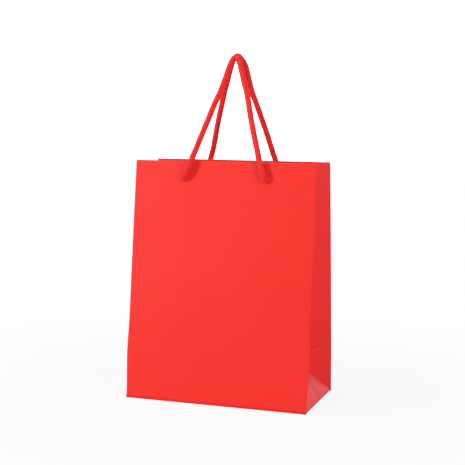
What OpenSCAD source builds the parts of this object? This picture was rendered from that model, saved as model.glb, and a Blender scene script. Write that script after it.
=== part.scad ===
// Paper gift bag with two knotted cord handles. It stands half closed, with both side gussets folded inward.
// Millimetres. +Z is up, the origin is the middle of the underside and the front panel faces -Y.

/* [Bag] */
// Width of the front and back panels
bag_w = 180; // [140:1:320]
// Depth of the base, and paper width of each side gusset
bag_d = 100; // [70:1:150]
// Height of a panel, measured along the paper
panel_h = 230; // [180:1:400]
// Depth of the mouth between the two top edges
mouth_d = 54; // [46:1:90]

/* [Paper and board] */
// Thickness of the laminated paper
paper_t = 0.3; // [0.2:0.05:0.5]
// Depth of the paper turned in at the top edge
hem_h = 36; // [30:1:60]
// Height of the card strip inside the turned-in top edge
card_h = 32; // [26:1:50]
// Thickness of that card strip
card_t = 0.8; // [0.5:0.1:1.5]
// Thickness of the loose board laid on the bottom
board_t = 1.2; // [0.8:0.1:2.5]
// How far each long bottom flap reaches across the base
flap_reach = 60; // [40:1:100]
// How far each short bottom flap reaches in from the side
short_reach = 56; // [40:1:70]
// Width of the glued seam tab inside the back panel
seam_w = 15; // [10:1:25]

/* [Handles] */
// Cord diameter
cord_d = 5.5; // [3:0.5:7]
// Punched hole diameter
hole_d = 6.5; // [4:0.5:9]
// Distance between the two holes of one panel
hole_gap = 82; // [60:1:120]
// Distance of the holes below the top edge
hole_drop = 17; // [13:1:24]
// How far the front holes are punched off centre
front_shift = 1; // [-5:0.5:5]
// Height of the handle loop above its holes
handle_rise = 115; // [80:1:200]
// Length of the cut cord tail under each knot
tail_l = 22; // [10:1:40]

/* [Hidden] */
// Everything below follows from the sizes above.
half_g = bag_d / 2;
half_mouth = mouth_d / 2;
tilt = asin((half_g - half_mouth) / panel_h);
top_z = panel_h * cos(tilt);
hole_v = panel_h - hole_drop;
stack_t = 2 * paper_t + card_t;

// Slits between pieces that fold against each other
fold_gap = 0.4;
edge_gap = 1.5;
crease_gap_low = 2.5;
crease_gap_top = 1.7;
mitre_gap = 1;
layer_gap = 0.1;
base_gap = 0.7;
cord_clear = 0.5;
loop_clear = 0.3;

// How far the glued layers stop short of the folds
hem_inset = 4;
card_inset = 6;
seam_inset = 4;
seam_low = 8;
board_inset = 2.2;
fold_low = 1.2;

paper_red = [0.93, 0.22, 0.20];
gusset_red = [0.84, 0.16, 0.17];
cord_red = [0.88, 0.14, 0.15];
card_grey = [0.80, 0.79, 0.76];

// Side gusset folding. The base triangle and both gusset halves keep their paper lengths,
// which fixes the vertex where all the creases meet and the top end of the middle crease.
wall_up = [0, sin(tilt), cos(tilt)];
vertex_z = half_g * (1 - sin(tilt)) / cos(tilt);
vertex_in = sqrt(half_g * half_g - vertex_z * vertex_z);
lean = atan2(vertex_in, vertex_z);
reach_top = sqrt(half_g * half_g - half_mouth * half_mouth);
crease_l = panel_h - half_g;
apart = norm([vertex_in, vertex_z - top_z]);
along = (reach_top * reach_top - crease_l * crease_l + apart * apart) / (2 * apart);
aside = sqrt(max(0, reach_top * reach_top - along * along));
toward = [vertex_in, vertex_z - top_z] / apart;
crease_top_in = toward[0] * along - toward[1] * aside;
crease_top_z = top_z + toward[1] * along + toward[0] * aside;

function unit(p) = p / norm(p);
function blend(a, b, t) = a + (b - a) * t;
function edge_at(v) = [bag_w / 2, -half_g + v * sin(tilt), v * cos(tilt)];
function crease_at(v) = [bag_w / 2 - blend(vertex_in, crease_top_in, (v - half_g) / crease_l), 0,
                         blend(vertex_z, crease_top_z, (v - half_g) / crease_l)];
function fold_dir(v) = (crease_at(max(v, half_g)) - edge_at(max(v, half_g))) / half_g;
function sheet_at(v, u, depth) = edge_at(v) + u * fold_dir(v) - depth * unit(cross(fold_dir(v), wall_up));
function crease_gap(v) = blend(crease_gap_low, crease_gap_top, max(0, (v - half_g) / crease_l));
function sheet_end(v) = v < half_g ? v - mitre_gap : half_g - crease_gap(v);

// Height rows of a gusset half: planar below the vertex, gently twisted above it, closer along the top hem
hem_rows = [for (k = [0 : 0.25 : 1]) panel_h - hem_h * (1 - k)];
gusset_rows = concat([for (k = [0.08, 0.3, 0.6, 0.9]) k * half_g],
                     [for (k = [0.05 : 0.15 : 0.95]) blend(half_g, panel_h - hem_h, k)], hem_rows);

// Handle route: sideways share of the half hole distance, upward share of the loop height
loop_route = [[1, 0], [0.90, 0.07], [0.82, 0.14], [0.74, 0.225], [0.64, 0.345], [0.52, 0.485], [0.405, 0.625],
              [0.335, 0.71], [0.26, 0.79], [0.19, 0.865], [0.125, 0.935], [0.065, 0.98], [0, 1]];
cord_off = cord_d / 2 + cord_clear;
exit_y = -half_g + hole_v * sin(tilt) - cord_off * cos(tilt);
exit_z = hole_v * cos(tilt) + cord_off * sin(tilt);
edge_y = -half_mouth - cord_off;
apex_y = -cord_d / 2 - loop_clear;
function cord_y(z) = z < top_z ? blend(exit_y, edge_y, (z - exit_z) / (top_z - exit_z))
                               : blend(edge_y, apex_y, (z - top_z) / (exit_z + handle_rise - top_z));
function route_point(p, side, shift) = let (z = exit_z + p[1] * handle_rise)
    [side * p[0] * hole_gap / 2 + shift, cord_y(z), z];
function loop_points(shift) = concat([for (p = loop_route) route_point(p, -1, shift)],
    [for (k = [len(loop_route) - 2 : -1 : 0]) route_point(loop_route[k], 1, shift)]);

// A closed skin over rings of equal point count, listed counter-clockwise seen against the route.
// Opposite sides are split along matching diagonals, so a thin twisted sheet keeps its thickness.
module skin(rings) {
    n = len(rings[0]);
    m = len(rings);
    polyhedron(points = [for (r = rings) each r],
        faces = concat([[for (i = [0 : n - 1]) i]], [[for (i = [0 : n - 1]) m * n - 1 - i]],
            [for (k = [0 : m - 2], i = [0 : n - 1], half = [0, 1])
                let (a = k * n + i, b = a + n, j = (i + 1) % n, c = (k + 1) * n + j, d = k * n + j)
                i < n / 2 ? (half == 0 ? [a, b, c] : [a, c, d]) : (half == 0 ? [a, b, d] : [b, c, d])]));
}

// Places a flat wall: local X across, local Y inward from the outer face, local Z up the paper
module on_front() {
    translate([0, -half_g, 0]) rotate([-tilt, 0, 0]) children();
}

module on_back() {
    mirror([0, 1, 0]) on_front() children();
}

module cord_holes(shift) {
    for (side = [-1, 1]) translate([shift + side * hole_gap / 2, -1, hole_v])
        rotate([-90, 0, 0]) cylinder(d = hole_d, h = stack_t + 2, $fn = 40);
}

module wall_panel(shift) {
    difference() {
        translate([-bag_w / 2, 0, fold_gap]) cube([bag_w, paper_t, panel_h - fold_gap]);
        cord_holes(shift);
    }
}

// The turned-in paper covers the top of the card strip and its inner face
module wall_hem(shift) {
    side = bag_w / 2 - hem_inset;
    difference() {
        union() {
            translate([-side, paper_t + card_t, panel_h - hem_h]) cube([2 * side, paper_t, hem_h]);
            translate([-side, paper_t, panel_h - paper_t]) cube([2 * side, card_t, paper_t]);
        }
        cord_holes(shift);
    }
}

module wall_card(shift) {
    side = bag_w / 2 - card_inset;
    difference() {
        translate([-side, paper_t, panel_h - paper_t - card_h]) cube([2 * side, card_t, card_h]);
        cord_holes(shift);
    }
}

// Cord through the hole, the two pressed wraps of its knot, and the cut tail hanging inside the bag
module cord_knot(x) {
    wrap_r = 0.52 * cord_d;
    ring_r = 0.6 * cord_d;
    translate([x, 0, hole_v]) {
        rotate([-90, 0, 0]) cylinder(d = cord_d, h = stack_t + 3 * wrap_r, $fn = 40);
        rotate([-90, 0, 0]) for (k = [0, 1]) translate([0, 0, stack_t + layer_gap + wrap_r * (1 + 1.7 * k)])
            rotate_extrude($fn = 48) translate([ring_r, 0]) circle(r = wrap_r, $fn = 32);
        translate([0, stack_t + layer_gap + 1.85 * wrap_r, -tail_l]) cylinder(d = 0.96 * cord_d, h = tail_l, $fn = 40);
    }
}

module front_panel() { color(paper_red) on_front() wall_panel(front_shift); }
module front_hem() { color(paper_red) on_front() wall_hem(front_shift); }
module front_top_card() { color(card_grey) on_front() wall_card(front_shift); }
module front_left_knot() { color(cord_red) on_front() cord_knot(front_shift - hole_gap / 2); }
module front_right_knot() { color(cord_red) on_front() cord_knot(front_shift + hole_gap / 2); }
module back_panel() { color(paper_red) on_back() wall_panel(0); }
module back_hem() { color(paper_red) on_back() wall_hem(0); }
module back_top_card() { color(card_grey) on_back() wall_card(0); }
module back_left_knot() { color(cord_red) on_back() cord_knot(-hole_gap / 2); }
module back_right_knot() { color(cord_red) on_back() cord_knot(hole_gap / 2); }

// The bag's one long glue seam, on the inner face of the back panel beside the left gusset
module seam_tab() {
    color(paper_red) on_back()
        translate([-bag_w / 2 + seam_inset, paper_t, seam_low])
            cube([seam_w, paper_t, panel_h - hem_h - seam_low - seam_inset]);
}

// One half of a side gusset, between the front panel's right edge and the middle crease
module gusset_half() {
    skin([for (v = gusset_rows)
        [sheet_at(v, edge_gap, 0), sheet_at(v, sheet_end(v), 0),
         sheet_at(v, sheet_end(v), paper_t), sheet_at(v, edge_gap, paper_t)]]);
}

// Paper turned in along the top of that half
module gusset_hem() {
    near = paper_t + layer_gap;
    far = near + paper_t;
    skin([for (v = hem_rows)
        [sheet_at(v, hem_inset, near), sheet_at(v, sheet_end(v) - mitre_gap, near),
         sheet_at(v, sheet_end(v) - mitre_gap, far), sheet_at(v, hem_inset, far)]]);
}

module front_right_gusset() { color(gusset_red) gusset_half(); }
module front_left_gusset() { color(gusset_red) mirror([1, 0, 0]) gusset_half(); }
module back_right_gusset() { color(gusset_red) mirror([0, 1, 0]) gusset_half(); }
module back_left_gusset() { color(gusset_red) mirror([1, 0, 0]) mirror([0, 1, 0]) gusset_half(); }
module front_right_gusset_hem() { color(paper_red) gusset_hem(); }
module front_left_gusset_hem() { color(paper_red) mirror([1, 0, 0]) gusset_hem(); }
module back_right_gusset_hem() { color(paper_red) mirror([0, 1, 0]) gusset_hem(); }
module back_left_gusset_hem() { color(paper_red) mirror([1, 0, 0]) mirror([0, 1, 0]) gusset_hem(); }

// Triangle that rises from the side edge of the base and leans in under the gusset
module base_fold() {
    top = half_g - mitre_gap - fold_gap;
    translate([bag_w / 2, 0, 0]) rotate([0, -lean, 0]) rotate([90, 0, 90]) translate([0, 0, -paper_t])
        linear_extrude(height = paper_t)
            polygon([[fold_low - top, fold_low], [top - fold_low, fold_low], [0, top]]);
}

module right_base_fold() { color(gusset_red) base_fold(); }
module left_base_fold() { color(gusset_red) mirror([1, 0, 0]) base_fold(); }

// Long bottom flap with mitred ends; each reaches past the middle of the base
module long_flap(from_y, to_y) {
    y_low = half_g - base_gap;
    x_low = bag_w / 2 - base_gap;
    linear_extrude(height = paper_t)
        polygon([[-x_low + (y_low + from_y), from_y], [x_low - (y_low + from_y), from_y],
                 [x_low - (y_low + to_y), to_y], [-x_low + (y_low + to_y), to_y]]);
}

// The back flap is outermost; the front flap steps up over its edge
module back_bottom_flap() {
    color(paper_red) mirror([0, 1, 0]) long_flap(base_gap - half_g, flap_reach - half_g);
}

module front_bottom_flap() {
    step = half_g - flap_reach - fold_gap;
    color(paper_red) {
        long_flap(base_gap - half_g, step);
        translate([0, 0, paper_t]) long_flap(step - 2 * fold_gap, flap_reach - half_g);
    }
}

// Short flap folded in from the gusset, above both long flaps
module short_flap() {
    x_low = bag_w / 2 - base_gap;
    y_low = half_g - base_gap;
    translate([0, 0, 2 * paper_t]) linear_extrude(height = paper_t)
        polygon([[x_low, -y_low], [x_low, y_low], [x_low - short_reach, y_low - short_reach / 2],
                 [x_low - short_reach, short_reach / 2 - y_low]]);
}

module right_bottom_flap() { color(gusset_red) short_flap(); }
module left_bottom_flap() { color(gusset_red) mirror([1, 0, 0]) short_flap(); }

// Loose board that keeps the bottom flat, held down by the two leaning base triangles
module base_board() {
    color(card_grey) translate([board_inset - bag_w / 2, board_inset - half_g, 3 * paper_t])
        cube([bag_w - 2 * board_inset, bag_d - 2 * board_inset, board_t]);
}

// Round cord along a route that never runs along Y, with rounded ends
module cord_loop(route) {
    r = cord_d / 2;
    n = len(route);
    first = unit(route[1] - route[0]);
    last = unit(route[n - 1] - route[n - 2]);
    ring = function (p, t, rad) let (s = unit(cross([0, 1, 0], t)), w = cross(t, s))
        [for (i = [0 : 11]) p + rad * (cos(30 * i) * s + sin(30 * i) * w)];
    skin(concat(
        [for (a = [75, 45, 20]) ring(route[0] - r * sin(a) * first, first, r * cos(a))],
        [for (k = [0 : n - 1]) ring(route[k],
            k == 0 ? first : k == n - 1 ? last : unit(unit(route[k] - route[k - 1]) + unit(route[k + 1] - route[k])), r)],
        [for (a = [20, 45, 75]) ring(route[n - 1] + r * sin(a) * last, last, r * cos(a))]));
}

module front_handle() { color(cord_red) cord_loop(loop_points(front_shift)); }
module back_handle() { color(cord_red) mirror([0, 1, 0]) cord_loop(loop_points(0)); }

front_panel();
front_hem();
front_top_card();
front_left_knot();
front_right_knot();
back_panel();
back_hem();
back_top_card();
back_left_knot();
back_right_knot();
seam_tab();
front_left_gusset();
front_right_gusset();
back_left_gusset();
back_right_gusset();
front_left_gusset_hem();
front_right_gusset_hem();
back_left_gusset_hem();
back_right_gusset_hem();
left_base_fold();
right_base_fold();
left_bottom_flap();
right_bottom_flap();
front_bottom_flap();
back_bottom_flap();
base_board();
front_handle();
back_handle();
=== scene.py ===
"""A red paper gift bag with two cord handles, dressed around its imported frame.

Sizes are millimetres in this file's own arithmetic and become metres when a mesh is made.
The front panel faces -Y, +Z is up, and the bag stands on z = 0.
"""
import math

import bpy
import numpy as np
from mathutils import Matrix, Vector


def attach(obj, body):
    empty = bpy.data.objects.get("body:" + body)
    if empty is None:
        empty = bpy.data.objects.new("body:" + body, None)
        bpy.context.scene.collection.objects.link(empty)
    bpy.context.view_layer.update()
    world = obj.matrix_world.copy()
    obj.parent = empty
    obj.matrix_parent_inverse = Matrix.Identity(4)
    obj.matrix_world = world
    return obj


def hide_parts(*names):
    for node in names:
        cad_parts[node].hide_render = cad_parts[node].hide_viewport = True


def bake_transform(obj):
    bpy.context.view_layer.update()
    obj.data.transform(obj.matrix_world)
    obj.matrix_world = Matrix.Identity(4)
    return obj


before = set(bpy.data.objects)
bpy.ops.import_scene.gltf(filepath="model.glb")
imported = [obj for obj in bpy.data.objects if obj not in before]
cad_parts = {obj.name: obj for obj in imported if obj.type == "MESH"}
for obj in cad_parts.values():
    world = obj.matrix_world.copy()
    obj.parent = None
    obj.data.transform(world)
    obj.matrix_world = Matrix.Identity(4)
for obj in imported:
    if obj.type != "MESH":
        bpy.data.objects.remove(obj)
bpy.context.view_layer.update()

MM = 0.001

# Driving sizes of the bag, as in the part's source
BAG_W = 180.0
BAG_D = 100.0
PANEL_H = 230.0
MOUTH_D = 54.0
PAPER_T = 0.3
CARD_T = 0.8
HEM_H = 36.0
HEM_INSET = 4.0
CORD_D = 5.5
HOLE_D = 6.5
HOLE_GAP = 82.0
HOLE_DROP = 17.0
FRONT_SHIFT = 1.0
HANDLE_RISE = 115.0
TAIL_L = 22.0
CORD_CLEAR = 0.5
LOOP_CLEAR = 0.3

# Handle route: sideways share of the half hole distance, upward share of the loop height
LOOP_ROUTE = [(1, 0), (0.90, 0.07), (0.82, 0.14), (0.74, 0.225), (0.64, 0.345), (0.52, 0.485),
              (0.405, 0.625), (0.335, 0.71), (0.26, 0.79), (0.19, 0.865), (0.125, 0.935), (0.065, 0.98),
              (0, 1)]

# Small sideways drift of each soft strand off that route, at these shares of its height
DRIFT_AT = (0, 0.18, 0.25, 0.31, 0.44, 0.58, 0.71, 0.84, 0.91, 1)
DRIFT = {("front", "left"): (0, 0.3, 0.4, 0.6, 1.2, 1.3, 2.9, 2.4, 1.8, 1.5),
         ("front", "right"): (0, 1.6, 1.7, 1.4, 1.2, 1.7, 2.0, 1.5, 1.3, 1.5),
         ("back", "left"): (0, -1.0, 0.2, -0.2, -1.0, -0.5, -0.4, 0.2, 0.6, 2.0),
         ("back", "right"): (0, 0.4, 0.8, 1.1, 1.5, 1.3, 0.9, 2.6, 4.4, 2.0)}

# How far each loop's apex stands above that route
APEX_LIFT = {"front": 0.9, "back": 2.4}

# Depth and height of the gusset's vertex, which soft paper lets sink in further than flat halves would
PRESSED_IN = 27.0
PRESSED_Z = 43.2

# Which way each wall and end lies from the middle, and how far each handle sits aside
SIDES = {"front": -1, "back": 1}
ENDS = {"left": -1, "right": 1}
SHIFT = {"front": FRONT_SHIFT, "back": 0.0}

# What follows from those sizes
HALF_W = BAG_W / 2
HALF_G = BAG_D / 2
HALF_MOUTH = MOUTH_D / 2
SIN_T = (HALF_G - HALF_MOUTH) / PANEL_H
COS_T = math.sqrt(1 - SIN_T * SIN_T)
TILT = math.asin(SIN_T)
TOP_Z = PANEL_H * COS_T
HOLE_V = PANEL_H - HOLE_DROP
STACK_T = 2 * PAPER_T + CARD_T
CREASE_L = PANEL_H - HALF_G
WALL_UP = np.array([0.0, SIN_T, COS_T])
SIDEWAYS = np.array([1.0, 0.0, 0.0])
VERTEX_Z = HALF_G * (1 - SIN_T) / COS_T
VERTEX_IN = math.sqrt(HALF_G ** 2 - VERTEX_Z ** 2)
LEAN = math.atan2(PRESSED_IN, PRESSED_Z)
TRIANGLE_H = math.hypot(PRESSED_IN, PRESSED_Z)
PRESS = np.array([VERTEX_IN - PRESSED_IN, 0.0, PRESSED_Z - VERTEX_Z])
CORD_OFF = CORD_D / 2 + CORD_CLEAR


def crease_top():
    """Inward depth and height of the middle crease's top: where a circle about the panel's top corner
    (the paper's half gusset, seen square on) meets a circle about the vertex (the crease's length)."""
    reach = math.sqrt(HALF_G ** 2 - HALF_MOUTH ** 2)
    down = np.array([VERTEX_IN, VERTEX_Z - TOP_Z])
    apart = np.linalg.norm(down)
    down = down / apart
    along = (reach ** 2 - CREASE_L ** 2 + apart ** 2) / (2 * apart)
    aside = math.sqrt(reach ** 2 - along ** 2)
    return down[0] * along - down[1] * aside, TOP_Z + down[1] * along + down[0] * aside


CREASE_TOP_IN, CREASE_TOP_Z = crease_top()


# Points of the paper

def wall_point(x, v, depth):
    """Front wall: x across, v up the paper, depth inward from the outer face of the leaning plane."""
    y = -HALF_G + v * SIN_T + depth * COS_T
    z = v * COS_T - depth * SIN_T
    return np.stack(np.broadcast_arrays(x, y, z), axis=-1)


def gusset_across(v):
    """Unit direction from the front wall's right edge to the middle crease. The crease runs straight to its
    top from the vertex, which is as far up the paper as the half gusset is wide. Below the vertex the
    direction stays the same."""
    row = np.maximum(v, HALF_G)
    share = (row - HALF_G) / CREASE_L
    crease = np.stack([HALF_W - VERTEX_IN - (CREASE_TOP_IN - VERTEX_IN) * share, 0 * share,
                       VERTEX_Z + (CREASE_TOP_Z - VERTEX_Z) * share], axis=-1)
    return (crease - wall_point(HALF_W, row, 0.0)) / HALF_G


def outward(along):
    """Unit normal of paper that runs along a direction and up the wall's edge."""
    normal = np.cross(along, WALL_UP)
    return normal / np.linalg.norm(normal, axis=-1, keepdims=True)


def gusset_point(u, v, depth):
    """Front half of the right gusset: u across from the panel's edge, v up the paper, depth inward."""
    u, v, depth = np.broadcast_arrays(u, v, depth)
    across = gusset_across(v)
    return wall_point(HALF_W, v, 0.0) + u[..., None] * across - depth[..., None] * outward(across)


# Reach of a rounded vertical fold, paper that runs on past a sharp fold, depth of the strips that
# overlap behind a rounded fold, lowest row of a gusset, and red paper shown past the end of a hem
FOLD_T = 1.5
TUCK = 0.7
EDGE_TUCK = 0.15
GUSSET_LOW = 0.7
HEM_LAP = 1.5


def pressed_in(u, v):
    """How far the soft gusset is pressed in beyond its flat halves: in full at the vertex, less toward the
    panels in proportion to u, and less toward the top in proportion to the height that is left."""
    return (u / HALF_G * np.clip((PANEL_H - v) / CREASE_L, 0, 1))[..., None] * PRESS


def fold_turn(v):
    """How far from a vertical edge the paper starts to turn, less near the base where the gusset narrows
    to a point."""
    return np.minimum(FOLD_T, 0.45 * np.maximum(v, GUSSET_LOW))


def tucked(past):
    """Extra depth of the strip that runs on past the middle of a rounded fold, reached in a short turn."""
    return EDGE_TUCK * np.clip(past / 0.12, 0, 1)


def rounded_edge(share, v, depth):
    """The front wall's right edge, rounded by a quadratic curve from the panel (share 0) to the gusset
    (share 1) whose middle control point is the sharp edge. Depth is measured along the curve's normal."""
    share, v, depth = np.broadcast_arrays(share, v, depth)
    share, inward = share[..., None], -SIDEWAYS
    across = gusset_across(v)
    curve = (1 - share) ** 2 * inward + share ** 2 * across
    place = wall_point(HALF_W, v, 0.0) + fold_turn(v)[..., None] * curve
    return place - depth[..., None] * outward(share * across - (1 - share) * inward)


def near(distance, width):
    """A soft mark that is 1 on a line and fades over width."""
    return np.exp(-(distance / width) ** 2)


# Height up the paper where an edge stands out most, and how far above and below that reaches
FULLEST_V = 44.0
FULL_REACH = 23.0


def edge_swell(v, side):
    """How far a vertical edge stands out sideways: a slight bow over the height and a fuller one above the
    base, more at the front (side -1) than at the back (side 1)."""
    bow = 0.45 * np.sin(math.pi * np.clip(v / PANEL_H, 0, 1))
    fuller = (0.65 - 0.45 * side) * near(v - FULLEST_V, FULL_REACH)
    return bow + fuller


def base_fold_point(y, v, depth):
    """Right base triangle: y along the side edge of the base, v up the leaning paper, depth inward."""
    up = v * TRIANGLE_H / HALF_G
    x = HALF_W - up * math.sin(LEAN) - depth * math.cos(LEAN)
    z = up * math.cos(LEAN) - depth * math.sin(LEAN)
    return np.stack(np.broadcast_arrays(x, y, z), axis=-1)


# Meshes

SHARP_DEG = 40
UV_NAME = "paper_mm"


def new_mesh_object(name, points, quads, uv, marks=None, sharp_deg=SHARP_DEG):
    """One object from point and quad arrays in millimetres. The signed volume, the sum of corner triple
    products, tells whether the skin is inside out, and all quads turn round if it is negative."""
    tri = points[quads[:, [0, 1, 2, 0, 2, 3]].reshape(-1, 3)]
    volume = np.einsum("ij,ij->i", tri[:, 0], np.cross(tri[:, 1], tri[:, 2])).sum()
    if volume < 0:
        quads = quads[:, ::-1]
    mesh = bpy.data.meshes.new(name)
    mesh.vertices.add(len(points))
    mesh.vertices.foreach_set("co", (points * MM).astype(np.float32).ravel())
    mesh.loops.add(quads.size)
    mesh.loops.foreach_set("vertex_index", quads.astype(np.int32).ravel())
    mesh.polygons.add(len(quads))
    mesh.polygons.foreach_set("loop_start", np.arange(0, quads.size, 4, dtype=np.int32))
    mesh.update(calc_edges=True)
    layer = mesh.uv_layers.new(name=UV_NAME)
    layer.uv.foreach_set("vector", uv[quads.ravel()].astype(np.float32).ravel())
    for key, values in (marks or {}).items():
        mark = mesh.attributes.new(key, "FLOAT", "POINT")
        mark.data.foreach_set("value", values.astype(np.float32).ravel())
    mesh.polygons.foreach_set("use_smooth", np.ones(len(quads), dtype=bool))
    mesh.set_sharp_from_angle(angle=math.radians(sharp_deg))
    mesh.validate()
    piece = bpy.data.objects.new(name, mesh)
    bpy.context.scene.collection.objects.link(piece)
    return piece


def grid_quads(rows, cols, wrap=False):
    """Quads of a rows by cols grid of points, closed round its columns if wrap is true."""
    index = np.arange(rows * cols).reshape(rows, cols)
    after = np.roll(index, -1, axis=1) if wrap else index[:, 1:]
    here = index if wrap else index[:, :-1]
    return np.stack([here[:-1], after[:-1], after[1:], here[1:]], axis=-1).reshape(-1, 4)


def hem_corner(from_edge, v, inside):
    """1 on the inner face beside a vertical edge, over the height of the hem, where the turned-in paper
    runs round the mouth's corner and shows its red face; 0 elsewhere."""
    return ((from_edge < HEM_INSET + HEM_LAP) & (v > PANEL_H - HEM_H) & (inside < 0.5)).astype(float)


def paper_sheet(name, printed, raw, uv, fold, covered):
    """A thin closed sheet from two matching grids: the printed face, the raw face turned round behind it,
    and a strip of quads along their common border. The raw face is red where it is covered."""
    rows, cols = printed.shape[:2]
    count = rows * cols
    index = np.arange(count).reshape(rows, cols)
    ring = np.concatenate([index[0, :-1], index[:-1, -1], index[-1, :0:-1], index[:0:-1, 0]])
    onward = np.roll(ring, -1)
    face = grid_quads(rows, cols)
    strip = np.stack([onward, ring, ring + count, onward + count], axis=-1)
    points = np.concatenate([printed.reshape(-1, 3), raw.reshape(-1, 3)])
    bare = 1 - covered
    bare[[0, -1], :] = 0
    bare[:, [0, -1]] = 0
    marks = {"raw_side": np.concatenate([np.zeros(count), bare.ravel()]),
             "fold_wear_and_painted_light": np.tile(fold.ravel(), 2)}
    return new_mesh_object(name, points, np.concatenate([face, face[:, ::-1] + count, strip]),
                           np.tile(uv.reshape(-1, 2), (2, 1)), marks)


def arc(center, radius, start_deg, end_deg, steps):
    """Profile points on a circle, with their outward normals: centre + radius (cos a, sin a)."""
    angle = np.radians(np.linspace(start_deg, end_deg, steps))
    normal = np.stack([np.cos(angle), np.sin(angle)], axis=-1)
    return np.asarray(center) + radius * normal, normal


def straight(start, end, normal, steps):
    """Profile points on a line, evenly spaced, with one normal."""
    share = np.linspace(0, 1, steps)[:, None]
    return np.asarray(start) * (1 - share) + np.asarray(end) * share, np.tile(normal, (steps, 1))


FOOT_R = 1.0


def foot_bend(lean):
    """Printed face of a panel's foot, as (height up the paper, depth inward): a round fold that is tangent
    to the floor and to the panel, which leans inward by lean."""
    middle = np.array([FOOT_R * (1 + math.sin(lean)) / math.cos(lean), FOOT_R])
    return arc(middle, FOOT_R, 180 - math.degrees(lean), 270, 9)


def straight_up(bottom_v, top_v, steps):
    """Printed face straight up a panel, with closer rows about the crease that is half a gusset above the
    base."""
    above = np.array([0.2, 0.45, 0.75, 1.1, 1.6, 2.3, 3.2])
    close = HALF_G + np.concatenate([-above[::-1], [0.0], above])
    rows = np.linspace(bottom_v, top_v, steps)
    if bottom_v < HALF_G - 4 and top_v > HALF_G + 4:
        rows = np.sort(np.concatenate([rows[np.abs(rows - HALF_G) > 3.6], close]))
    return np.stack([rows, 0 * rows], axis=-1), np.tile((0.0, -1.0), (len(rows), 1))


def joined(*pieces):
    """Joins profile stretches, leaving out each stretch's first point where it repeats the last one."""
    points = [pieces[0][0]] + [p[0][1:] for p in pieces[1:]]
    normals = [pieces[0][1]] + [p[1][1:] for p in pieces[1:]]
    return np.concatenate(points), np.concatenate(normals)


def turned_top(bottom_v, top_r, steps):
    """Printed face up a panel, round the turned top edge and down the hem inside."""
    up = straight_up(bottom_v, PANEL_H - top_r, steps)
    over = arc((PANEL_H - top_r, top_r), top_r, 270, 450, 13)
    down = straight((PANEL_H - top_r, 2 * top_r), (PANEL_H - HEM_H, 2 * top_r), (0, 1), 14)
    return up, over, down


def wall_sheet(name, side, crease):
    """Front (side -1) or back (side 1) panel with its turned-in hem, as one folded sheet. Its middle bows
    outward by bow (1 - a^2) sin^2, where a runs from edge to edge and the sine from foot to hem, and a low
    wave runs over it. Its edges are half of the rounded fold that the gussets finish, with a narrow strip
    tucked behind them."""
    bow, wave, groove, span_cols = 1.3, 0.12, 0.3, 44
    bend = foot_bend(TILT)
    profile, normal = joined(bend, *turned_top(bend[0][-1, 0], STACK_T / 2, 90))
    other = profile - PAPER_T * normal
    share = np.concatenate([np.linspace(0, 0.5, 7)[1:], [0.62, 0.8, 1.0]])
    half = np.concatenate([(HALF_W - FOLD_T) * np.sin(np.linspace(0, math.pi / 2, span_cols))[1:],
                           HALF_W - FOLD_T * (1 - share) ** 2])
    flat_x = np.concatenate([-half[::-1], [0.0], half])[None, :]
    turn_share = np.concatenate([share[::-1], np.zeros(2 * span_cols - 1), share])[None, :]
    tuck = tucked(turn_share - 0.5)
    hand = np.sign(flat_x)
    a = flat_x / HALF_W
    v = profile[:, :1] + 0 * a
    inside = np.clip(profile[:, 1:] / STACK_T, 0, 1) * (profile[:, :1] > HALF_G)
    rise = np.clip(profile[:, :1] / (PANEL_H - HEM_H), 0, 1)
    swell = bow * (1 - a ** 2) * np.sin(math.pi * rise) ** 2 * (1 - inside)
    ripple = np.sin(5.5 * a + 1.3) * np.sin(0.047 * v + 0.4)
    swell = swell + wave * ripple * (1 - a ** 2) * np.sin(math.pi * rise)
    score = groove * near(v - HALF_G, 0.9) * crease
    stand = (hand * a ** 6 * edge_swell(v, side) * (1 - inside))[..., None] * SIDEWAYS

    def face(rows):
        depth = rows[:, 1:] + 0 * a
        flat = wall_point(flat_x * (1 - HEM_INSET / HALF_W * inside), rows[:, :1], depth - swell + score)
        bent = rounded_edge(turn_share, rows[:, :1], depth + tuck)
        bent = bent * np.stack([hand, 1 + 0 * hand, 1 + 0 * hand], axis=-1)
        bent = bent * (1 - inside[..., None]) + flat * inside[..., None]
        return np.where(turn_share[..., None] > 0, bent, flat) + stand

    # Fold mark: paler along the top edge and the back's half-gusset crease, partly wear and partly painted
    # highlight
    fold = np.maximum(0.15 * near(PANEL_H - v, 0.9), 0.5 * crease * near(v - HALF_G, 0.8))
    # Negative fold mark along the foot: painted contact shadow under the bottom edge
    fold = fold - 1.1 * near(v, 2.0) * (1 - inside)
    turn = np.array([1, -side, 1])
    uv = np.stack([flat_x + 0 * v, v + 2 * HEM_H * inside], axis=-1)
    covered = hem_corner(HALF_W - np.abs(flat_x), v, inside)
    return paper_sheet(name, face(profile) * turn, face(other) * turn, uv, fold, covered)


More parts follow.
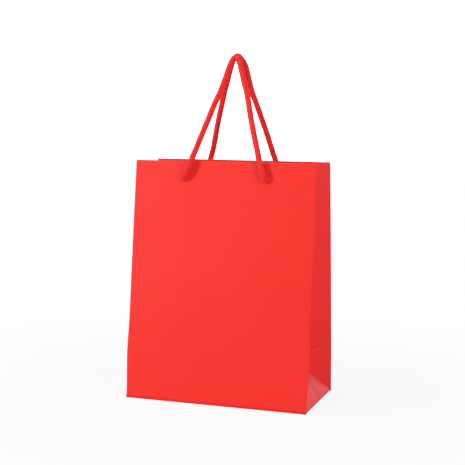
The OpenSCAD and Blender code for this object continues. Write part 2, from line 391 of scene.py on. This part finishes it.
def gusset_sheet(name, x_side, y_side):
    """Half of a side gusset with its hem. Across the half, u runs from the panel's edge, where it finishes
    the rounded fold, to the middle crease, or below the vertex to the 45 degree fold, where the paper's
    width equals its height. The paper runs on past those folds by a narrow tuck, and past the rounded fold
    by a flange behind the panel's edge, out of sight inside the bag."""
    bow, groove = 0.9, 0.6
    top_r = PAPER_T + 0.05
    profile, normal = joined(*turned_top(GUSSET_LOW, top_r, 110))
    other = profile - PAPER_T * normal
    share = np.concatenate([[0.0, 0.2, 0.38], np.linspace(0.5, 1, 7)])[None, :]
    b = (0.5 - 0.5 * np.cos(np.linspace(0, math.pi, 38)))[None, 1:]
    v = profile[:, :1]
    reach = np.minimum(HALF_G, np.maximum(v, GUSSET_LOW)) + TUCK
    start = fold_turn(v)
    inside = np.clip(profile[:, 1:] / (2 * top_r), 0, 1)
    u = np.concatenate([start * share ** 2, start + b * (reach - start)], axis=1)
    turn_share = np.concatenate([share, 0 * b + 1], axis=1)
    tuck = tucked(0.5 - turn_share)
    v = v + 0 * u
    rise = np.clip((v - 0.3 * HALF_G) / (PANEL_H - HEM_H), 0, 1)
    swell = bow * np.sin(math.pi * u / reach) * np.sin(math.pi * rise) ** 2 * (u > start)
    past_fold = np.clip(u / 3 - 0.6, 0, 1)
    score = groove * near(v - HALF_G, 1.0) * past_fold
    stand = np.maximum(1 - u / HALF_G, 0) ** 2 * edge_swell(v, y_side) * (1 - inside)
    stand = stand[..., None] * SIDEWAYS

    def face(rows):
        depth = rows[:, 1:] + 0 * u
        flat = gusset_point(u * (1 - inside * (HEM_INSET + 0.3) / reach) + HEM_INSET * inside,
                            rows[:, :1] + 0 * u, depth + swell + score)
        bent = rounded_edge(turn_share, rows[:, :1] + 0 * u, depth + tuck)
        bent = bent * (1 - inside[..., None]) + flat * inside[..., None]
        return np.where(turn_share[..., None] < 1, bent, flat) + stand + pressed_in(u, v)

    # Fold mark: paler along the middle crease and the top edge, partly wear and partly painted highlight
    fold = np.maximum(0.2 * near(reach - TUCK - u, 0.7), 0.15 * near(PANEL_H - v, 0.8))
    # Painted highlight just below the half-gusset crease and painted shade just above it
    crease_highlight_and_shade = 0.35 * near(v - HALF_G + 1.3, 0.8) - 0.55 * near(v - HALF_G - 0.3, 0.9)
    fold = fold + crease_highlight_and_shade * past_fold
    turn = np.array([x_side, -y_side, 1])
    uv = np.stack([u + BAG_W, v + 2 * HEM_H * inside], axis=-1)
    covered = hem_corner(u, v, inside)
    return paper_sheet(name, face(profile) * turn, face(other) * turn, uv, fold, covered)


def base_triangle(name, x_side):
    """Triangle at the foot of a gusset: its width falls by two for each step up, so its sides are 45 degree
    folds. A crease runs up its middle with a painted highlight along it, and the paper bows outward on both
    sides of it."""
    bow, groove = 1.1, 0.7
    bend = foot_bend(LEAN)
    top = HALF_G + TUCK - 0.3
    profile, normal = joined(bend, straight((bend[0][-1, 0], 0), (top, 0), (0, -1), 50))
    other = profile - PAPER_T * normal
    b = np.sinh(np.linspace(-3, 3, 81))[None, :] / math.sinh(3)
    v = profile[:, :1] + 0 * b
    width = HALF_G - np.maximum(v, 0) + TUCK
    y = b * width
    score = groove * near(y, 5.0) - bow * (1 - b ** 2)
    score = score * np.clip(v / 8, 0, 1) * np.clip(width / 20, 0, 1)
    stand = b ** 2 * np.maximum(1 - v / HALF_G, 0) ** 2 * edge_swell(v, np.sign(b))
    stand = stand[..., None] * SIDEWAYS
    printed = base_fold_point(y, v, profile[:, 1:] + score) + stand
    raw = base_fold_point(y, other[:, :1] + 0 * b, other[:, 1:] + score) + stand
    # Paler middle crease: painted highlight; paler 45 degree folds: partly wear, partly painted highlight
    fold = np.maximum(1.1 * near(y + 2.5, 3.5), 0.2 * near(width - TUCK - np.abs(y), 0.8))
    # Negative fold mark along the foot: painted contact shadow
    fold = fold - 1.1 * near(v, 1.8)
    turn = np.array([x_side, 1, 1])
    uv = np.stack([y + 2 * BAG_W, v], axis=-1)
    return paper_sheet(name, printed * turn, raw * turn, uv, fold, 0 * v)


def punch(piece, shift, side):
    """Punches the two cord holes through a panel sheet with round cutters along the panel's normal."""
    for x in (shift - HOLE_GAP / 2, shift + HOLE_GAP / 2):
        turn = np.linspace(0, 2 * math.pi, 40, endpoint=False)
        rim_x = x + HOLE_D / 2 * np.cos(turn)
        rim_v = HOLE_V + HOLE_D / 2 * np.sin(turn)
        rings = np.stack([wall_point(rim_x, rim_v, -4.0), wall_point(rim_x, rim_v, STACK_T + 4.0)])
        rings = rings * np.array([1, -side, 1])
        points = np.concatenate([rings.reshape(-1, 3), rings.mean(axis=1)])
        count = len(turn)
        here = np.arange(count)
        onward = np.roll(here, -1)
        walls = np.stack([here, onward, onward + count, here + count], axis=-1)
        mesh = bpy.data.meshes.new("cutter")
        low = [[2 * count, b, a] for a, b in zip(here.tolist(), onward.tolist())]
        high = [[2 * count + 1, a + count, b + count] for a, b in zip(here.tolist(), onward.tolist())]
        mesh.from_pydata((points * MM).tolist(), [], walls.tolist() + low + high)
        cutter = bpy.data.objects.new("cutter", mesh)
        bpy.context.scene.collection.objects.link(cutter)
        cut = piece.modifiers.new("hole", "BOOLEAN")
        cut.operation = "DIFFERENCE"
        cut.solver = "EXACT"
        cut.object = cutter
        graph = bpy.context.evaluated_depsgraph_get()
        punched = bpy.data.meshes.new_from_object(piece.evaluated_get(graph))
        piece.modifiers.clear()
        piece.data = punched
        bpy.data.objects.remove(cutter)
    piece.data.set_sharp_from_angle(angle=math.radians(SHARP_DEG))


# Cords

def smooth_route(points, spacing, ease):
    """A route by the points: cubic Hermite spans with chord-length tangents, eased by a running mean with
    bell weights so that a thick cord can follow its bends, and resampled evenly."""
    points = np.asarray(points, float)
    step = np.linalg.norm(np.diff(points, axis=0), axis=1)
    knot = np.concatenate([[0], np.cumsum(step)])
    slope = np.gradient(points, knot, axis=0)
    fine = np.linspace(0, knot[-1], 4000)
    k = np.clip(np.searchsorted(knot, fine, side="right") - 1, 0, len(step) - 1)
    t = ((fine - knot[k]) / step[k])[:, None]
    h = step[k][:, None]
    route = ((2 * t ** 3 - 3 * t ** 2 + 1) * points[k] + (t ** 3 - 2 * t ** 2 + t) * h * slope[k]
             + (3 * t ** 2 - 2 * t ** 3) * points[k + 1] + (t ** 3 - t ** 2) * h * slope[k + 1])
    width = ease / knot[-1] * len(fine)
    reach = int(3 * width)
    weight = np.exp(-0.5 * (np.arange(-reach, reach + 1) / width) ** 2)
    before = 2 * route[0] - route[reach:0:-1]
    after = 2 * route[-1] - route[-2:-reach - 2:-1]
    padded = np.concatenate([before, route, after])
    route = np.stack([np.convolve(padded[:, i], weight / weight.sum(), "valid") for i in range(3)], axis=-1)
    length = np.concatenate([[0], np.cumsum(np.linalg.norm(np.diff(route, axis=0), axis=1))])
    even = np.linspace(0, length[-1], max(2, int(round(length[-1] / spacing)) + 1))
    return np.stack([np.interp(even, length, route[:, i]) for i in range(3)], axis=-1), length[-1]


def carried_frames(route):
    """Two side vectors per route point, carried along without twist: each is the last one projected onto
    the new cross plane."""
    tangent = np.gradient(route, axis=0)
    tangent = tangent / np.linalg.norm(tangent, axis=1, keepdims=True)
    side = np.cross(tangent[0], (0.31, 0.9, 0.22))
    sides = []
    for t in tangent:
        side = side - t * (side @ t)
        side = side / np.linalg.norm(side)
        sides.append(side)
    sides = np.array(sides)
    return sides, np.cross(tangent, sides)


def cord_tube(name, route, radius, around=44, end_rows=7):
    """A soft braided cord round a route. Its radius swells and thins slowly, and carries a low diamond
    relief, r (1 + a (cos(nA + kS) + cos(nA - kS))), where A is the angle and S the length. Both ends close
    in half balls."""
    first, second = carried_frames(route)
    length = np.concatenate([[0], np.cumsum(np.linalg.norm(np.diff(route, axis=0), axis=1))])
    angle = np.linspace(0, 2 * math.pi, around, endpoint=False)[None, :]
    run = length[:, None]
    slow = 0.018 * np.sin(0.43 * run + 0.7) + 0.014 * np.sin(0.83 * run + angle)
    slow = slow + 0.010 * np.sin(1.7 * run + 2 * angle)
    relief = 0.015 * (np.cos(14 * angle + 1.9 * run) + np.cos(14 * angle - 1.9 * run))
    size = np.broadcast_to(radius, length.shape)[:, None] * (1 + slow + relief)
    rings = route[:, None, :] + size[..., None] * (np.cos(angle)[..., None] * first[:, None, :]
                                                  + np.sin(angle)[..., None] * second[:, None, :])
    ahead = np.cross(first, second)
    rise = np.sin(np.linspace(0.02, 1, end_rows) * math.pi / 2)[::-1, None, None]
    shrink = np.cos(np.linspace(0.02, 0.985, end_rows) * math.pi / 2)[::-1, None, None]
    start = route[0] + (rings[0] - route[0]) * shrink - ahead[0] * np.mean(size[0]) * rise
    finish = route[-1] + (rings[-1] - route[-1]) * shrink + ahead[-1] * np.mean(size[-1]) * rise
    skin = np.concatenate([start, rings, finish[::-1]])
    rows = len(skin)
    quads = grid_quads(rows, around, wrap=True)
    runs = np.concatenate([np.full(end_rows, length[0]), length, np.full(end_rows, length[-1])])
    uv = np.stack(np.broadcast_arrays(np.linspace(0, 1, around)[None, :], runs[:, None]), axis=-1)
    points = np.concatenate([skin.reshape(-1, 3), skin[0].mean(axis=0)[None], skin[-1].mean(axis=0)[None]])
    here = np.arange(0, around, 2)
    onward = (here + 2) % around
    tip = np.full(len(here), rows * around)
    cap_a = np.stack([tip, onward, here + 1, here], axis=-1)
    last = (rows - 1) * around
    cap_b = np.stack([tip + 1, last + here, last + here + 1, last + onward], axis=-1)
    uv = np.concatenate([uv.reshape(-1, 2), [[0.5, 0.0], [0.5, length[-1]]]])
    return new_mesh_object(name, points, np.concatenate([quads, cap_a, cap_b]), uv, sharp_deg=180)


EXIT = wall_point(0.0, HOLE_V, -CORD_OFF)
EDGE_Y = -HALF_MOUTH - CORD_OFF
APEX_Y = -CORD_D / 2 - LOOP_CLEAR
INTO_KNOT = 3.6


def loop_route(wall, side):
    """The cord's route from one knot to the other: out of the hole, up the panel, over the top edge and in
    to the apex. Each side is the mirrored route plus its strand's own drift."""
    share = np.array(LOOP_ROUTE[1:])
    z = EXIT[2] + share[:, 1] * HANDLE_RISE + APEX_LIFT[wall] * np.clip(share[:, 1] * 5 - 4, 0, 1)
    y = np.where(z < TOP_Z, np.interp(z, [EXIT[2], TOP_Z], [EXIT[1], EDGE_Y]),
                 np.interp(z, [TOP_Z, EXIT[2] + HANDLE_RISE], [EDGE_Y, APEX_Y]))
    half = HOLE_GAP / 2
    out = np.stack([wall_point(half, HOLE_V, STACK_T + INTO_KNOT), wall_point(half, HOLE_V, 0.0),
                    wall_point(half - 0.2, HOLE_V + 0.4, -1.6), wall_point(half - 1.0, HOLE_V + 2.2, -2.9)])
    strands = []
    for end, hand in ENDS.items():
        x = hand * share[:, 0] * half + np.interp(share[:, 1], DRIFT_AT, DRIFT[wall, end])
        strands.append(np.concatenate([out * np.array([hand, 1, 1]), np.stack([x, y, z], axis=-1)]))
    whole = np.concatenate([strands[0], strands[1][-2::-1]]) + np.array([SHIFT[wall], 0, 0])
    return whole * np.array([1, -side, 1])


def knot_route(x, side):
    """Overhand knot behind the panel and its hanging tail. The knot is an open trefoil, (sin t + 2 sin 2t,
    cos t - 2 cos 2t, -sin 3t), with its cord entering and leaving along the hole's axis."""
    scale = 1.45
    t = np.linspace(math.pi + 0.25, 3 * math.pi - 0.25, 30)
    inward = scale * (np.sin(t) + 2 * np.sin(2 * t))
    drop = scale * (np.cos(t) - 2 * np.cos(2 * t) + 3)
    aside = -1.5 * scale * np.sin(3 * t)
    depth = STACK_T + 6.2
    knot = wall_point(x + aside, HOLE_V - drop, depth - inward)
    lead = wall_point(x, HOLE_V, np.array([-1.0, 0.5, 1.6]))
    end = depth + scale * 2.6
    fall = np.linspace(0.12, 1, 6)
    tail = wall_point(x + 1.2 * fall, HOLE_V - 1.0 - TAIL_L * fall ** 1.2, end + 1.2 * np.sin(2.2 * fall))
    route = np.concatenate([lead, knot, tail])
    return route * np.array([1, -side, 1])


# Materials

class Sockets:
    """A shader socket that can be used in Python arithmetic. Each operator adds one Math node."""

    def __init__(self, tree, socket):
        self.tree = tree
        self.socket = socket

    def maths(self, operation, *values):
        node = self.tree.nodes.new("ShaderNodeMath")
        node.operation = operation
        for slot, value in zip(node.inputs, values):
            connect(self.tree, slot, value)
        return Sockets(self.tree, node.outputs[0])

    def __add__(self, other):
        return self.maths("ADD", self, other)

    __radd__ = __add__

    def __sub__(self, other):
        return self.maths("SUBTRACT", self, other)

    def __rsub__(self, other):
        return self.maths("SUBTRACT", other, self)

    def __mul__(self, other):
        return self.maths("MULTIPLY", self, other)

    __rmul__ = __mul__

    def clamp(self):
        return self.maths("MINIMUM", self.maths("MAXIMUM", self, 0.0), 1.0)

    def most(self, other):
        return self.maths("MAXIMUM", self, other)

    def sine(self):
        return self.maths("SINE", self)

    def also(self, output):
        """Another output of the node that this socket belongs to."""
        return Sockets(self.tree, self.socket.node.outputs[output])


def connect(tree, slot, value):
    """Links a wrapped socket to an input, or writes a plain value into it."""
    if isinstance(value, Sockets):
        tree.links.new(value.socket, slot)
    else:
        slot.default_value = value


class Shading:
    """A node tree under construction: one method makes any node other than an expression's Math nodes."""

    def __init__(self, tree):
        self.tree = tree
        tree.nodes.clear()

    def node(self, kind, settings=None, inputs=None, output=0):
        made = self.tree.nodes.new("ShaderNode" + kind)
        for key, value in (settings or {}).items():
            setattr(made, key, value)
        for key, value in (inputs or {}).items():
            connect(self.tree, made.inputs[key], value)
        return Sockets(self.tree, made.outputs[output]) if made.outputs else None


class Finish(Shading):
    """A material under construction."""

    def __init__(self, name):
        self.material = bpy.data.materials.new(name)
        self.material.use_nodes = True
        super().__init__(self.material.node_tree)

    def noise(self, scale, detail=3.0, roughness=0.55):
        place = self.node("TexCoord", output="Object")
        return self.node("TexNoise", {}, {"Vector": place, "Scale": scale, "Detail": detail,
                                          "Roughness": roughness})

    def mark(self, key):
        return self.node("Attribute", {"attribute_name": key}, output="Fac")

    def mix(self, share, first, second):
        return self.node("Mix", {"data_type": "RGBA"}, {0: share, 6: first, 7: second}, output=2)

    def bump(self, height, strength, distance):
        return self.node("Bump", {}, {"Height": height, "Strength": strength, "Distance": distance})

    def surface(self, **inputs):
        named = {key.replace("_", " "): value for key, value in inputs.items()}
        return self.finished(self.node("BsdfPrincipled", {}, named))

    def finished(self, shader):
        self.node("OutputMaterial", {}, {"Surface": shader})
        return self.material


RED_INK = (0.87, 0.021, 0.013, 1)
RED_INK_DEEP = (0.84, 0.017, 0.011, 1)
# Pale fold red is partly wear and partly painted highlight; the dark red below it is painted shade
RED_WEAR_AND_HIGHLIGHT = (0.90, 0.130, 0.120, 1)
RED_PAINTED_SHADE = (0.55, 0.010, 0.009, 1)
RAW_WHITE = (0.80, 0.785, 0.75, 1)
RAW_CREAM = (0.72, 0.70, 0.655, 1)


def laminated_paper():
    """Red printed paper under a satin film on one face, bare white paper on the other. Where the fold mark
    is
    positive the ink is paler: partly wear on folds, partly painted highlight on the top edges and creases.
    Where it is negative the ink is darker: painted shade along the feet and just above the gusset crease."""
    f = Finish("laminated_paper")
    raw = f.mark("raw_side")
    fold = f.mark("fold_wear_and_painted_light")
    cloud = f.noise(14.0, 4.0)
    fibre = f.noise(900.0, 5.0, 0.65)
    grain = f.noise(2600.0, 2.0, 0.5)
    ink = f.mix(cloud, RED_INK_DEEP, RED_INK)
    # Paler ink on positive fold marks: partly wear on folds, partly painted highlight on top edges and
    # creases
    ink = f.mix((fold * 0.4 * (0.4 + fibre)).clamp(), ink, RED_WEAR_AND_HIGHLIGHT)
    # Darker ink on negative fold marks: painted shade along the feet and just above the gusset crease
    ink = f.mix((fold * -0.6).clamp(), ink, RED_PAINTED_SHADE)
    bare = f.mix((fibre * 1.6 - 0.3).clamp(), RAW_CREAM, RAW_WHITE)
    rough = 0.48 + 0.06 * cloud + 0.05 * fibre + 0.08 * fold.clamp()
    height = fibre * 0.6 + grain * 0.4 + f.noise(45.0, 2.0) * 4.0
    return f.surface(Base_Color=f.mix(raw, ink, bare), Roughness=rough + raw * 0.3,
                     Specular_IOR_Level=0.42, Normal=f.bump(height, 0.16, 0.00008))


def bare_paper():
    """The unprinted side of the paper, where the seam tab shows it."""
    f = Finish("bare_paper")
    fibre = f.noise(900.0, 5.0, 0.65)
    colour = f.mix((fibre * 1.6 - 0.3).clamp(), RAW_CREAM, RAW_WHITE)
    return f.surface(Base_Color=colour, Roughness=0.8 + 0.08 * fibre, Normal=f.bump(fibre, 0.25, 0.00008))


def grey_board():
    """Recycled board: grey pulp with darker and lighter flecks."""
    f = Finish("grey_board")
    pulp = f.noise(260.0, 6.0, 0.7)
    fleck = f.noise(1500.0, 2.0, 0.5)
    body = f.mix(pulp, (0.40, 0.375, 0.335, 1), (0.60, 0.575, 0.53, 1))
    colour = f.mix(((fleck - 0.62) * 7.0).clamp(), body, (0.24, 0.215, 0.19, 1))
    return f.surface(Base_Color=colour, Roughness=0.86 + 0.08 * pulp,
                     Normal=f.bump(pulp + 0.4 * fleck, 0.35, 0.00015))


CORD_RED = (0.90, 0.020, 0.015, 1)
CORD_PAINTED_SHADE = (0.56, 0.004, 0.006, 1)
CORD_LINT = (0.94, 0.060, 0.050, 1)


def cotton_cord():
    """Soft braided cotton: fine slanted yarns that cross both ways, with painted shade in the valleys
    between yarns and paler lint.
    """
    f = Finish("cotton_cord")
    place = f.node("UVMap", {"uv_map": UV_NAME})
    around = f.node("SeparateXYZ", {}, {"Vector": place})
    along = around.also(1)
    lint = f.noise(1100.0, 4.0, 0.6)
    slow = f.noise(120.0, 3.0)
    left = (around * (28 * math.pi) + along * 3.8).sine()
    right = (around * (28 * math.pi) - along * 3.8).sine()
    yarn = (left.most(right) * 0.5 + 0.5).clamp()
    fine = (around * (112 * math.pi) + along * 7.6).sine() * 0.5 + 0.5
    # Painted shade: the valleys between yarns take the darker colour, which slow noise also spreads in
    # random patches of tone
    colour = f.mix((yarn * 0.75 + slow * 0.35).clamp(), CORD_PAINTED_SHADE, CORD_RED)
    colour = f.mix(((lint - 0.55) * 1.8).clamp(), colour, CORD_LINT)
    height = yarn + 0.25 * fine + 0.5 * lint
    return f.surface(Base_Color=colour, Roughness=0.78 + 0.12 * lint, Sheen_Weight=0.08,
                     Sheen_Roughness=0.5, Normal=f.bump(height, 0.6, 0.0002))


def paint(piece, material):
    piece.data.materials.clear()
    piece.data.materials.append(material)


# The bag

paper = laminated_paper()
raw_paper = bare_paper()
board = grey_board()
cotton = cotton_cord()

for wall, y_side in SIDES.items():
    sheet = wall_sheet(wall + "_sheet", y_side, crease=1.0 if wall == "back" else 0.0)
    punch(sheet, SHIFT[wall], y_side)
    paint(sheet, paper)
    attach(sheet, wall + "_wall")
    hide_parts(wall + "_panel", wall + "_hem")

    for end, x_side in ENDS.items():
        body = f"{wall}_{end}_gusset"
        half = gusset_sheet(body + "_sheet", x_side, y_side)
        paint(half, paper)
        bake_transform(half)
        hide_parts(body, body + "_hem")

for end, x_side in ENDS.items():
    triangle = base_triangle(end + "_base_triangle", x_side)
    paint(triangle, paper)
    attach(triangle, end + "_base_fold")
    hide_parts(end + "_base_fold")

for name in ("left_bottom_flap", "right_bottom_flap", "front_bottom_flap", "back_bottom_flap"):
    paint(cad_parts[name], paper)
for name in ("front_top_card", "back_top_card", "base_board"):
    paint(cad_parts[name], board)
paint(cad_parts["seam_tab"], raw_paper)

# The handles

# Heights up the panel between which a bend of the loop would start and end; the points made from them below
# are not used
BEND_START_V = HOLE_V - 0.5
BEND_END_V = HOLE_V + 6.5

# Spacing and easing of the routes, and the cord's radius in a tight knot as a share of its own
LOOP_STEP, LOOP_EASE = 0.55, 2.3
KNOT_STEP, KNOT_EASE = 0.5, 0.7
KNOT_SQUEEZE = 0.92

for wall, y_side in SIDES.items():
    shift = SHIFT[wall]
    turn = np.array([1, -y_side, 1])
    route, length = smooth_route(loop_route(wall, y_side), LOOP_STEP, LOOP_EASE)
    loop = cord_tube(wall + "_handle_cord", route, CORD_D / 2)
    paint(loop, cotton)
    bend_from = wall_point(0.0, BEND_START_V, -CORD_OFF) * turn * MM
    bend_to = wall_point(0.0, BEND_END_V, -CORD_OFF) * turn * MM
    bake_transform(loop)
    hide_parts(wall + "_handle")
    for end, x_side in ENDS.items():
        x = shift + x_side * HOLE_GAP / 2
        knot_path, _ = smooth_route(knot_route(x, y_side), KNOT_STEP, KNOT_EASE)
        knot = cord_tube(f"{wall}_{end}_knot_cord", knot_path, CORD_D / 2 * KNOT_SQUEEZE, around=36)
        paint(knot, cotton)
        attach(knot, wall + "_wall")
        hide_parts(f"{wall}_{end}_knot")

# Camera, light and floor

IMAGE_PX = 465
SENSOR_MM = 36
FOCAL_PX = 1086.2
CAMERA_AT = (0.3311, -0.9944, 0.2651)
YAW = math.radians(18.41)
PITCH = math.radians(5.76)
ROLL = math.radians(0.68)

camera_data = bpy.data.cameras.new("camera")
camera_data.sensor_fit = "HORIZONTAL"
camera_data.sensor_width = SENSOR_MM
camera_data.lens = SENSOR_MM * FOCAL_PX / IMAGE_PX
camera = bpy.data.objects.new("camera", camera_data)
ahead = Vector((-math.sin(YAW) * math.cos(PITCH), math.cos(YAW) * math.cos(PITCH), -math.sin(PITCH)))
level = Vector((math.cos(YAW), math.sin(YAW), 0))
upward = level.cross(ahead)
right = level * math.cos(ROLL) + upward * math.sin(ROLL)
upright = upward * math.cos(ROLL) - level * math.sin(ROLL)
camera.matrix_world = Matrix.Translation(CAMERA_AT) @ Matrix((right, upright, -ahead)).transposed().to_4x4()
bpy.context.scene.collection.objects.link(camera)
bpy.context.scene.camera = camera
bpy.context.scene.view_settings.view_transform = "Standard"

LAMP_AIM = (0, 0, 0.13)
WHITE = (1, 1, 1, 1)


def soft_lamp(name, place, size, power, colour=WHITE[:3]):
    """A square lamp that faces the middle of the bag."""
    lamp = bpy.data.lights.new(name, "AREA")
    lamp.color = colour
    lamp.size = size
    lamp.energy = power
    made = bpy.data.objects.new(name, lamp)
    made.location = place
    aim = Vector(LAMP_AIM) - Vector(place)
    made.rotation_euler = aim.to_track_quat("-Z", "Y").to_euler()
    bpy.context.scene.collection.objects.link(made)


soft_lamp("key_lamp", (-1.58, -1.14, 0.85), size=0.34, power=28, colour=(1, 0.99, 0.88))
soft_lamp("front_panel_lamp", (-0.75, -2.1, 0.8), size=1.5, power=2.4)
soft_lamp("overhead_lamp", (-0.3, 0.0, 1.7), size=0.5, power=10)
soft_lamp("right_fill_lamp", (1.55, -1.1, 0.85), size=1.0, power=24, colour=(1, 0.72, 0.9))

FLOOR_GREY = (0.6, 0.6, 0.6, 1)
FLOOR_HALF = 6.0
CLEAR_OF_SHADOW = 0.16


def studio_world():
    """White where the camera looks past the object. For other rays a soft dim room, with a white backdrop
    behind."""
    world = bpy.data.worlds.new("studio")
    bpy.context.scene.world = world
    world.use_nodes = True
    s = Shading(world.node_tree)
    seen = s.node("LightPath", output="Is Camera Ray")
    shown = seen.most(seen.also("Is Transmission Ray"))
    place = s.node("TexCoord", output="Generated")
    toward_back = s.node("SeparateXYZ", {}, {"Vector": place}, output="Y")
    behind = ((toward_back - 0.65) * 4.0).clamp()
    room = 0.11 + behind * 2.1
    sky = s.node("Background", {}, {"Color": WHITE, "Strength": shown.most(room)})
    s.node("OutputWorld", {}, {"Surface": sky})


def pale_floor():
    """A white floor that keeps a faint shadow round the bag and fades to the white background further out:
    the share of plain white grows with the distance from the bag's middle."""
    f = Finish("pale_floor")
    seen = f.node("LightPath", output="Is Camera Ray")
    shown = seen.most(seen.also("Is Transmission Ray"))
    mirrored = seen.also("Is Glossy Ray")
    place = f.node("TexCoord", output="Object")
    away = f.node("VectorMath", {"operation": "LENGTH"}, {0: place}, output="Value")
    far = ((away - CLEAR_OF_SHADOW) * 3.0).clamp()
    plain = (shown * (0.91 + 0.09 * far) + mirrored * far * 0.2).clamp()
    matte = f.node("BsdfDiffuse", {}, {"Color": FLOOR_GREY})
    glow = f.node("Emission")
    return f.finished(f.node("MixShader", {}, {0: plain, 1: matte, 2: glow}))


studio_world()
floor_mesh = bpy.data.meshes.new("floor")
floor_corners = [(x * FLOOR_HALF, y * FLOOR_HALF, 0) for x, y in ((-1, -1), (1, -1), (1, 1), (-1, 1))]
floor_mesh.from_pydata(floor_corners, [], [(0, 1, 2, 3)])
floor = bpy.data.objects.new("floor", floor_mesh)
bpy.context.scene.collection.objects.link(floor)
paint(floor, pale_floor())
